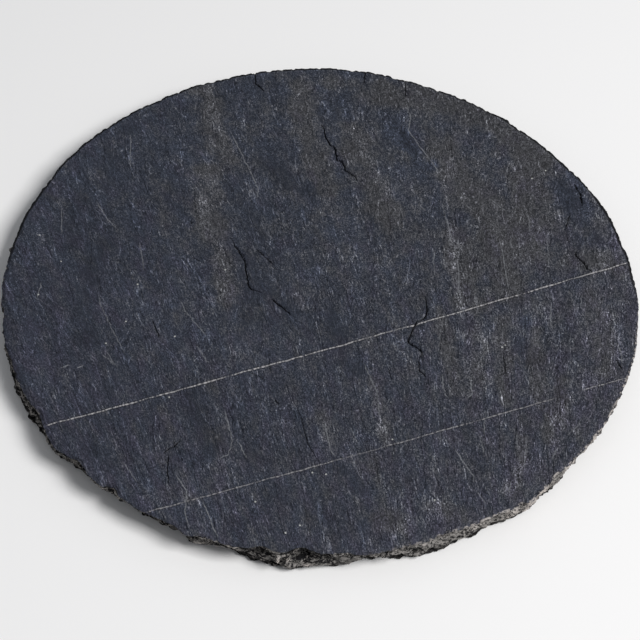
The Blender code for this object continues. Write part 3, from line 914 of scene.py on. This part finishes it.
class Spot:
    """What the finish knows of a spot: its place, the marks that the mesh carries, and the noises there."""

    def __init__(self, tree):
        start = Wire(tree)
        self.start = start
        place = start.node("ShaderNodeTexCoord", out=3)
        self.x, self.y, self.z = [
            place.node("ShaderNodeSeparateXYZ", None, {"Vector": place}, out=axis) for axis in range(3)
        ]
        for name in ATTRIBUTES:
            setattr(self, name, start.node("ShaderNodeAttribute", {"attribute_name": name}, out=2))
        self.crack_shade = self.crack_shade * abs(self.crack_across).between(0.85, 0.35)
        self.ledge = self.ledge * abs(self.ledge_across).between(0.90, 0.25)
        stretched = grain_places(start, self.x, self.y)
        for name, (width, length, seed, *kind) in TOP_NOISES.items():
            setattr(self, name, stretched(width, length, seed).noise(*kind))
        for name, (width, height, seed, *kind) in WALL_NOISES.items():
            within = start.place(self.x / width, self.y / width, self.z / height + seed)
            setattr(self, name, within.noise(*kind))
        self.grain = start.place(self.x / 0.0011, self.y / 0.0014, 17.0).noise(1.0, 0.6)


def cleft_steps(spot):
    """The fine steps of the cleft: how high each spot stands, the rise of a step, and the painted shade at
    its foot.
    """
    steps = spot.steps * CLEFT_STEPS
    along = steps.math("FRACT", steps)
    rise = along.between(0.80, 1.0)
    # Painted shade at the foot of each step.
    step_shade = along.between(0.70, 0.78) * (1 - rise.between(0.0, 0.2))
    return steps.math("FLOOR", steps) + rise, rise, step_shade


def white_dots(spot):
    """Small pale grains, in some stretches of the top only."""
    start, x, y = spot.start, spot.x, spot.y
    dots = start.node("ShaderNodeTexVoronoi", {"feature": "F1"}, {
        "Vector": start.place(x / 0.0065, y / 0.0075),
        "Scale": 1.0,
    }, out=0)
    return dots.between(0.11, 0.05) * start.place(x / 0.009, y / 0.009, 29.0).noise(0.0).between(0.52, 0.60)


def top_tones(spot, rise, step_shade):
    """How much lighter than plain the top is, in doublings of its brightness, with painted highlights and
    shade at the cleft steps, and the fine part of that.
    """
    fibre, streak, mottle, shade = spot.fibre, spot.streak, spot.mottle, spot.shade
    worms = abs(spot.worms - 0.5).between(0.11, 0.0)
    hairs = abs(spot.hairs - 0.5).between(0.024, 0.004)
    threads = abs(spot.threads - 0.5).between(0.034, 0.006)
    lively = (0.92 + spot.x * 0.8 + shade * 0.4 + (mottle - 0.5) * 0.3).larger(0.35)
    fine = (spot.grain - 0.5) * 3.8 + (fibre - 0.5) * 2.8 + worms * 1.35 - 0.59
    hair = hairs * (mottle * 0.6 + streak * 0.4).between(0.47, 0.57)
    thread = threads * streak.between(0.48, 0.58)
    # Painted highlight on the rise of each step; painted shade at its foot is taken off below.
    step_highlight = rise * (1 - rise) * (fibre * 0.4 + mottle * 0.6).between(0.46, 0.56)
    broad = (streak - 0.5) * 0.25 + (mottle - 0.5) * 0.2 + (spot.patch - 0.5) * 0.8
    tone = (fine + thread * 0.7 + white_dots(spot) * 1.3) * lively + broad
    tone = tone + hair * 1.0 + step_highlight * 4.0 - step_shade * 0.35 + shade * (streak * 0.64 + 0.13)
    return tone, fine


def top_colour(spot, finish, tone, fine):
    """The riven top: blue, grey and plum stone, as light as its tone says, with painted highlights along
    the ledge edges.
    """
    x, y = spot.x, spot.y
    warm = spot.warmth * 0.62 + (spot.hue - 0.5) * 1.5 + x * 0.7 + fine * 0.25 + tone * 0.10 + 0.24
    base = blend(spot, warm.between(0.05, 0.85), finish.blue_slate, finish.grey_slate)
    plum = (spot.plum - 0.5) * 2.2 + 0.12 - y * 0.9 + x * x * 4
    base = base.tint(plum.between(0.0, 1.0) * 0.7, solid(finish.plum_slate))
    toned = base.scaled(spot.start.math("POWER", 2.0, tone))
    beaded = (spot.fibre + spot.grain).between(0.80, 1.05) * 0.55 + 0.40
    # Painted highlight along the broken edges of the ledges.
    return toned.tint(spot.ledge * beaded, solid(finish.ledge_edge_highlight))


def with_flecks(spot, colour, finish):
    """The colour with the single white grains in it."""
    ragged_x = spot.x + (spot.grain - 0.5) * 0.0010
    ragged_y = spot.y + (spot.fibre - 0.5) * 0.0010
    flat = spot.start.place(ragged_x, ragged_y)
    gaps = [
        flat.node("ShaderNodeVectorMath", {"operation": "DISTANCE"}, {
            "Vector": flat,
            "Vector_001": (fleck_x, fleck_y, 0.0),
        }, out=1)
        for fleck_x, fleck_y in FLECKS
    ]
    nearest = gaps[0]
    for gap in gaps[1:]:
        nearest = nearest.smaller(gap)
    return colour.tint(nearest.between(FLECK_SIZE * 1.5, FLECK_SIZE * 0.8) * 0.8, solid(finish.fleck))


def with_lines(spot, colour, finish):
    """The colour with the quartz veins in it, and the painted shade of the cracks that cut through them."""
    for index, vein in enumerate(VEINS):
        bright, dark = vein_masks(spot.start, spot.x, spot.y, vein, 41.0 + 6 * index)
        colour = colour.scaled(1 - dark * 0.35)
        colour = colour.tint(bright * (1 - spot.crack_shade), solid(finish.vein))
    # Painted shade: the cracks are darkened as if shadowed inside.
    return colour.tint(spot.crack_shade * 0.96, solid(finish.crack_shade))


def wall_colour(spot, finish):
    """The broken wall: pale and black rubble, paler on the side that faces the key light as painted light,
    pale fresh facets, partly painted highlights, painted shade in its hollows, dark seams, painted
    highlights along its leaves on the shaded side, and a painted shadow along the foot.
    """
    lumps, hollow, fresh = spot.lumps, spot.hollow, spot.fresh
    # Painted light: the wall is paler where it faces the key light, and darker in its hollows as painted
    # shade.
    lit = (spot.x * 0.80 - spot.y * 0.60).between(0.06, 0.22)
    rubble = spot.leaf_lines * (0.70 - lit * 0.40) + lumps * (0.30 + lit * 0.40)
    pale = (rubble - 0.5) * (11.0 - lit * 3.0) + 0.32 + lit * 0.48 - hollow * (0.20 - lit * 0.1)
    bare = blend(spot, pale.between(0.0, 1.0), finish.broken_dark, finish.broken_pale)
    # Pale fresh facets, partly painted highlight.
    bare = bare.tint(fresh * (rubble + fresh * 0.12).between(0.51, 0.58), solid(finish.fresh_break_highlight))
    # Painted shade in the hollows of the wall.
    hollow_shade = 1 - hollow.between(0.15, 0.85) * (0.68 - lit * 0.4) * (1 - fresh)
    # Painted shadow along the foot, reaching higher on the shaded side.
    foot = (spot.z + lit * 0.0025).between(0.0055, 0.0085) * 0.88 + 0.12
    joint = abs(spot.joints - 0.5).between(0.040, 0.012) * lumps.between(0.38, 0.52)
    # Painted highlights: pale lines along the leaves on the shaded side.
    glint = abs(spot.joints - 0.44).between(0.026, 0.008) * lumps.between(0.44, 0.54) * (1 - lit)
    bare = bare.scaled(hollow_shade * foot * (1 - joint * 0.80))
    return bare.tint(glint * 0.60, solid(finish.fresh_break_highlight))


def with_edge(spot, colour, finish):
    """The colour with knocks along the near right of the top's edge, paled as painted highlights where the
    edge faces the key light, and painted shade as a dark line along the edge elsewhere.
    """
    x, y, inward = spot.x, spot.y, spot.inward
    # Painted highlight: knocked chips on the edge are paled where it faces the key light.
    facing_light = (x * 0.80 - y * 0.60).between(0.17, 0.24) * y.between(-0.01, -0.05)
    knocks = spot.start.place(x / 0.0045, y / 0.0045, 71.0).noise(2.0, 0.6)
    brow = inward.between(-0.0020, -0.0010) * inward.between(0.0018, 0.0009)
    lit_knock = facing_light * brow * knocks.between(0.47, 0.56)
    colour = colour.tint(lit_knock * 0.75, solid(finish.fresh_break_highlight))
    patches = spot.mottle.between(0.50, 0.60) * 0.5
    # Painted shade: a dark line along the far edge, and in patches elsewhere, with a paler band inside it.
    far = y.between(EDGE_SHADE_FROM, EDGE_SHADE_FROM + 0.05).larger(patches)
    edge_shade = inward.between(0.0027, 0.0017) * inward.between(-0.0020, -0.0005) * 0.85
    pale_edge_band = inward.between(0.0022, 0.0030) * inward.between(0.0058, 0.0038)
    pale_edge_band = pale_edge_band * spot.fibre.between(0.35, 0.60) * 0.26
    return colour.scaled((1 - edge_shade * far) * (1 + pale_edge_band * far))


def fine_relief(spot, stair, bared):
    """The height of what is too fine for the mesh, on the top and on the broken stone."""
    top = stair * 0.00045 + spot.fibre * 0.00010 + spot.streak * 0.00030 + spot.grain * 0.00006
    return top * (1 - bared) + (spot.leaf_lines * 0.0006 + spot.lumps * 0.0012) * bared


def slate_material(finish):
    material = bpy.data.materials.new("riven_slate")
    material.use_nodes = True
    tree = material.node_tree
    shader = tree.nodes["Principled BSDF"]
    spot = Spot(tree)
    stair, rise, step_shade = cleft_steps(spot)
    colour = top_colour(spot, finish, *top_tones(spot, rise, step_shade))
    colour = with_lines(spot, with_flecks(spot, colour, finish), finish)
    bared = (spot.broken + (spot.grain - 0.5) * 0.25).between(0.40, 0.60)
    colour = with_edge(spot, colour.tint(bared, wall_colour(spot, finish)), finish)
    rough = 0.64 - (spot.streak - 0.5) * 0.25 + (spot.grain - 0.5) * 0.2 + spot.broken * 0.2
    bump = spot.start.node("ShaderNodeBump", None, {
        "Strength": 1.0,
        "Distance": 1.0,
        "Height": fine_relief(spot, stair, bared) * finish.relief,
    })
    tree.links.new(colour.socket, shader.inputs["Base Color"])
    tree.links.new(rough.socket, shader.inputs["Roughness"])
    tree.links.new(bump.socket, shader.inputs["Normal"])
    shader.inputs["Specular IOR Level"].default_value = finish.sheen
    return material


def make_slab(form, finish):
    mesh = stone_blank()
    nominal = np.empty(len(mesh.vertices) * 3)
    mesh.vertices.foreach_get("co", nominal)
    places, marks = shaped(form, nominal.reshape(-1, 3))
    mesh.vertices.foreach_set("co", places.ravel())
    for name, values in marks.items():
        store(mesh, name, values)
    mesh.update()
    slab = bpy.data.objects.new("slate_stone", mesh)
    bpy.context.scene.collection.objects.link(slab)
    thin_underside(slab)
    slab.data.shade_smooth()
    slab.data.set_sharp_from_angle(angle=math.radians(SHARP_ANGLE))
    slab.data.materials.append(slate_material(finish))
    return slab


def check_size(slab):
    """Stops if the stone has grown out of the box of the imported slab, or lost much of it."""
    low, high = CAD_BOX
    places = np.empty(len(slab.data.vertices) * 3)
    slab.data.vertices.foreach_get("co", places)
    places = places.reshape(-1, 3)
    astray = max(np.abs(places.min(axis=0) - low).max(), np.abs(places.max(axis=0) - high).max())
    if astray > SIZE_TOLERANCE:
        raise RuntimeError(f"the stone's box is {astray * 1000:.1f} mm off the packed slab's")


def plain_material(name, colour, roughness):
    material = bpy.data.materials.new(name)
    material.use_nodes = True
    shader = material.node_tree.nodes["Principled BSDF"]
    shader.inputs["Base Color"].default_value = solid(colour)
    shader.inputs["Roughness"].default_value = roughness
    return material


def make_floor(stage):
    bm = bmesh.new()
    bmesh.ops.create_grid(bm, x_segments=1, y_segments=1, size=FLOOR_SIZE / 2)
    mesh = bpy.data.meshes.new("studio_floor")
    bm.to_mesh(mesh)
    bm.free()
    mesh.materials.append(plain_material("pale_floor", stage.floor_colour, FLOOR_ROUGHNESS))
    floor = bpy.data.objects.new("studio_floor", mesh)
    bpy.context.scene.collection.objects.link(floor)
    return floor


def make_light(name, azimuth, elevation, size, power, distance=LIGHT_DISTANCE):
    """A square soft light that faces the slab from this azimuth (0 is +X) and elevation, in degrees."""
    lamp = bpy.data.lights.new(name, "AREA")
    lamp.shape = "SQUARE"
    lamp.size = size
    lamp.energy = power
    turn, rise = math.radians(azimuth), math.radians(elevation)
    away = Vector((math.cos(turn) * math.cos(rise), math.sin(turn) * math.cos(rise), math.sin(rise)))
    light = bpy.data.objects.new(name, lamp)
    light.location = away * distance
    light.rotation_euler = away.to_track_quat("Z", "Y").to_euler()
    bpy.context.scene.collection.objects.link(light)
    return light


def make_camera():
    """The camera looks down on the slab from the front, turned a little about its own axis."""
    data = bpy.data.cameras.new("camera")
    data.lens = CAMERA_LENS
    data.sensor_width = CAMERA_SENSOR
    data.sensor_fit = "HORIZONTAL"
    data.clip_start, data.clip_end = CAMERA_CLIP
    rise, roll = math.radians(CAMERA_ELEVATION), math.radians(CAMERA_ROLL)
    back = Vector((0, -math.cos(rise), math.sin(rise)))
    right = Vector((1, 0, 0))
    upward = back.cross(right)
    turned_right = right * math.cos(roll) + upward * math.sin(roll)
    turned_up = upward * math.cos(roll) - right * math.sin(roll)
    camera = bpy.data.objects.new("camera", data)
    facing = Matrix((turned_right, turned_up, back)).transposed().to_4x4()
    camera.matrix_world = Matrix.Translation(Vector(CAMERA_AIM) + back * CAMERA_DISTANCE) @ facing
    bpy.context.scene.collection.objects.link(camera)
    bpy.context.scene.camera = camera


def make_world(stage):
    world = bpy.data.worlds.new("studio")
    world.use_nodes = True
    sky = world.node_tree.nodes["Background"]
    sky.inputs["Color"].default_value = solid(stage.fill_colour)
    sky.inputs["Strength"].default_value = stage.fill_strength
    bpy.context.scene.world = world


def small_length(name, description, default):
    return FloatProperty(
        name=name, description=description, default=default,
        min=0.0, max=0.01, unit="LENGTH", precision=4,
    )


def colour(name, description, default):
    return FloatVectorProperty(
        name=name, description=description, default=default, subtype="COLOR", min=0, max=1,
    )


class SlateForm(bpy.types.PropertyGroup):
    """The sizes of the stone that a user would change."""

    swell: small_length("Swell", "How high the broad swells of the top stand", 0.0007)
    ridge: small_length("Ridges", "How high the long ridges along the grain stand", 0.0007)
    ripple: small_length("Ripples", "How high the small ripples along the grain stand", 0.0005)
    scallop: small_length("Scallops", "How deep the scallops of the rim are", 0.0022)
    leaf_step: small_length("Leaf steps", "How far the leaves of the rim step in and out", 0.0018)
    leaf_bite: small_length("Leaf bites", "How deep the bites in the leaves' edges are", 0.0016)
    grit: small_length("Grit", "How coarse the grit of the broken rim is", 0.0006)
    edge_nick: small_length("Edge nicks", "How deep the nicks in the top edge are", 0.0010)
    edge_chip: small_length("Edge chips", "How deep the chips inside the top edge are", 0.0012)
    edge_wear: small_length("Edge wear", "How far the worn top edge drops", 0.0006)
    edge_lift: small_length("Edge lift", "How far the underside lifts at the rim", 0.0026)
    under_recess: small_length("Recesses", "How deep the underside's recesses are", 0.0006)


class SlateFinish(bpy.types.PropertyGroup):
    """The colours and the gloss of the stone."""

    blue_slate: colour("Blue slate", "The bluer stone of the top", (0.0300, 0.0354, 0.0508))
    grey_slate: colour("Grey slate", "The greyer stone of the top", (0.0460, 0.0465, 0.0510))
    plum_slate: colour("Plum slate", "The top where it leans to plum", (0.0365, 0.0340, 0.0520))
    # Painted highlight on the edges of the ledges.
    ledge_edge_highlight: colour("Pale slate", "Threads and the edges of leaves", (0.190, 0.195, 0.210))
    vein: colour("Vein", "The two thin quartz veins", (0.40, 0.385, 0.39))
    fleck: colour("Fleck", "The few white flecks", (0.50, 0.50, 0.48))
    # Painted shade inside the cracks.
    crack_shade: colour("Crack", "The inside of the cracks", (0.010, 0.010, 0.012))
    broken_dark: colour("Broken, dark", "The darker stone of the rim", (0.009, 0.009, 0.010))
    broken_pale: colour("Broken, pale", "The paler stone of the rim", (0.235, 0.222, 0.210))
    # Pale fresh breaks, also used for painted highlights on the rim and the top edge.
    fresh_break_highlight: colour("Fresh break", "Fresh breaks on the right of the rim", (0.50, 0.455, 0.425))
    relief: FloatProperty(
        name="Relief", description="How strong the fine relief is",
        default=1.0, min=0.0, max=4.0,
    )
    sheen: FloatProperty(
        name="Gloss", description="How strongly the stone reflects",
        default=0.18, min=0.0, max=1.0, subtype="FACTOR",
    )


class SlateStage(bpy.types.PropertyGroup):
    """The floor and the light that the stone is shown in."""

    floor_colour: colour("Floor", "The colour of the floor", (0.93, 0.92, 0.91))
    fill_colour: colour("Fill colour", "The colour of the light from all round", (0.92, 0.95, 1.0))
    fill_strength: FloatProperty(
        name="Fill strength", description="The strength of the light from all round",
        default=0.28, min=0.0, max=10.0,
    )
    key_power: FloatProperty(
        name="Key light", description="The power of the main light",
        default=192.0, min=0.0, max=1000.0, unit="POWER",
    )


class SLATE_OT_make_slab(bpy.types.Operator):
    """Make the slab of slate in place of the plain one"""

    bl_idname = "slate.make_slab"
    bl_label = "Slate slab"

    def execute(self, context):
        slab = make_slab(context.scene.slate_form, context.scene.slate_finish)
        check_size(slab)
        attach(slab, "root")
        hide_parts(NODE)
        return {"FINISHED"}


class SLATE_OT_make_stage(bpy.types.Operator):
    """Make the floor, the lights and the camera"""

    bl_idname = "slate.make_stage"
    bl_label = "Stage"

    def execute(self, context):
        stage = context.scene.slate_stage
        make_floor(stage)
        make_light("key_light", KEY_AZIMUTH, KEY_ELEVATION, KEY_SIZE, stage.key_power)
        make_world(stage)
        make_camera()
        context.scene.view_settings.view_transform = "Standard"
        return {"FINISHED"}


class SLATE_PT_panel(bpy.types.Panel):
    """Lists what can be made, with the sizes and colours that it is made with"""

    bl_label = "Slate slab"
    bl_idname = "SLATE_PT_panel"
    bl_space_type = "VIEW_3D"
    bl_region_type = "UI"
    bl_category = "Slate"

    def draw(self, context):
        layout = self.layout
        layout.operator(SLATE_OT_make_slab.bl_idname)
        layout.operator(SLATE_OT_make_stage.bl_idname)
        for group in (context.scene.slate_form, context.scene.slate_finish, context.scene.slate_stage):
            for name in group.bl_rna.properties.keys():
                if name not in ("rna_type", "name"):
                    layout.prop(group, name)


CLASSES = (
    SlateForm,
    SlateFinish,
    SlateStage,
    SLATE_OT_make_slab,
    SLATE_OT_make_stage,
    SLATE_PT_panel,
)


def register():
    for item in CLASSES:
        bpy.utils.register_class(item)
    bpy.types.Scene.slate_form = PointerProperty(type=SlateForm)
    bpy.types.Scene.slate_finish = PointerProperty(type=SlateFinish)
    bpy.types.Scene.slate_stage = PointerProperty(type=SlateStage)


def unregister():
    del bpy.types.Scene.slate_stage
    del bpy.types.Scene.slate_finish
    del bpy.types.Scene.slate_form
    for item in reversed(CLASSES):
        bpy.utils.unregister_class(item)


def main():
    register()
    bpy.ops.slate.make_slab()
    bpy.ops.slate.make_stage()


if __name__ == "__main__":
    main()
